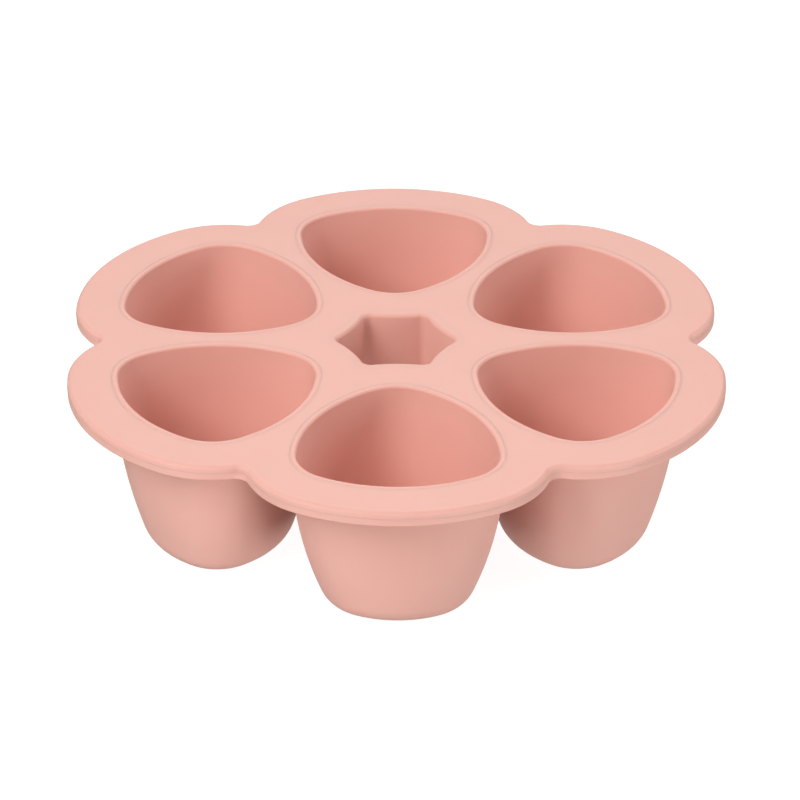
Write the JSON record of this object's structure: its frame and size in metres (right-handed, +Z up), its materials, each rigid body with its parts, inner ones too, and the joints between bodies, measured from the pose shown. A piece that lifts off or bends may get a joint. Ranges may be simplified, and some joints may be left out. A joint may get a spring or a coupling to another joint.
{
  "type": "baby food freezer tray",
  "caption": "Flower-shaped silicone tray with tapered rounded-triangle cups for freezing portions of baby food, a lip round each cup and a star-shaped opening in the middle.",
  "frame": {"origin": "on the tray's axis, in the plane of the cup feet", "axes": "+Z up along the tray's axis, +Y through the back cup and -Y through the front cup"},
  "size_m": [0.2252, 0.2384, 0.0598],
  "materials": {
    "silicone": "satin moulded silicone, salmon pink"
  },
  "bodies": {
    "root": {"deck_upper": "silicone", "deck_lower": "silicone", "cup_front": "silicone", "cup_front_right": "silicone", "cup_back_right": "silicone", "cup_back": "silicone", "cup_back_left": "silicone", "cup_front_left": "silicone", "star_collar": "silicone"}
  },
  "joints": []
}
